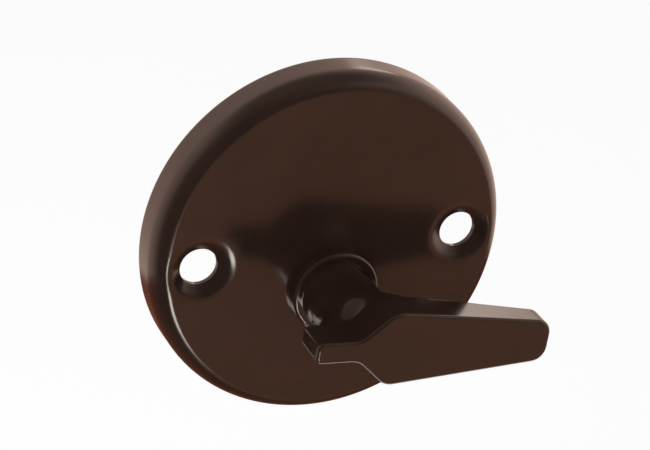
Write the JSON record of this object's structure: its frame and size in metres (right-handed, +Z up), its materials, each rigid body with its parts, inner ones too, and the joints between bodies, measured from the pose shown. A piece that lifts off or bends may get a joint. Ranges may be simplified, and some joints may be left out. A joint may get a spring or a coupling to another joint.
{
  "type": "bathroom thumb turn lock",
  "caption": "Round pressed rose with screw seats and an off-centre lever turn on a square spindle, for working a bathroom bolt.",
  "frame": {"origin": "centre of the round rose, in the plane of the door that its back rim lies on", "axes": "+X along the line of the two screws, +Z up, and the front with its lever faces -Y, so the spindle points along +Y into the door"},
  "size_m": [0.0514, 0.066, 0.0514],
  "materials": {
    "rose_enamel": "dark brown semi-gloss enamel on pressed steel",
    "turn_enamel": "dark brown semi-gloss enamel on cast zinc",
    "plated_steel": "zinc plated, drawn square bar",
    "spring_steel": "blued spring steel",
    "washer_steel": "zinc plated",
    "ring_steel": "phosphated spring steel"
  },
  "bodies": {
    "rose": {"cover_plate": "rose_enamel", "wave_washer": "spring_steel"},
    "turn": {"thumb_turn": "turn_enamel", "thrust_washer": "washer_steel", "retaining_ring": "ring_steel", "spindle": "plated_steel"}
  },
  "joints": [
    {"name": "turn_hinge", "type": "hinge", "parent": "rose", "child": "turn", "pos_m": [0, -0.006, -0.0058], "axis": [0, -1, 0], "range_deg": [0, 90]}
  ]
}
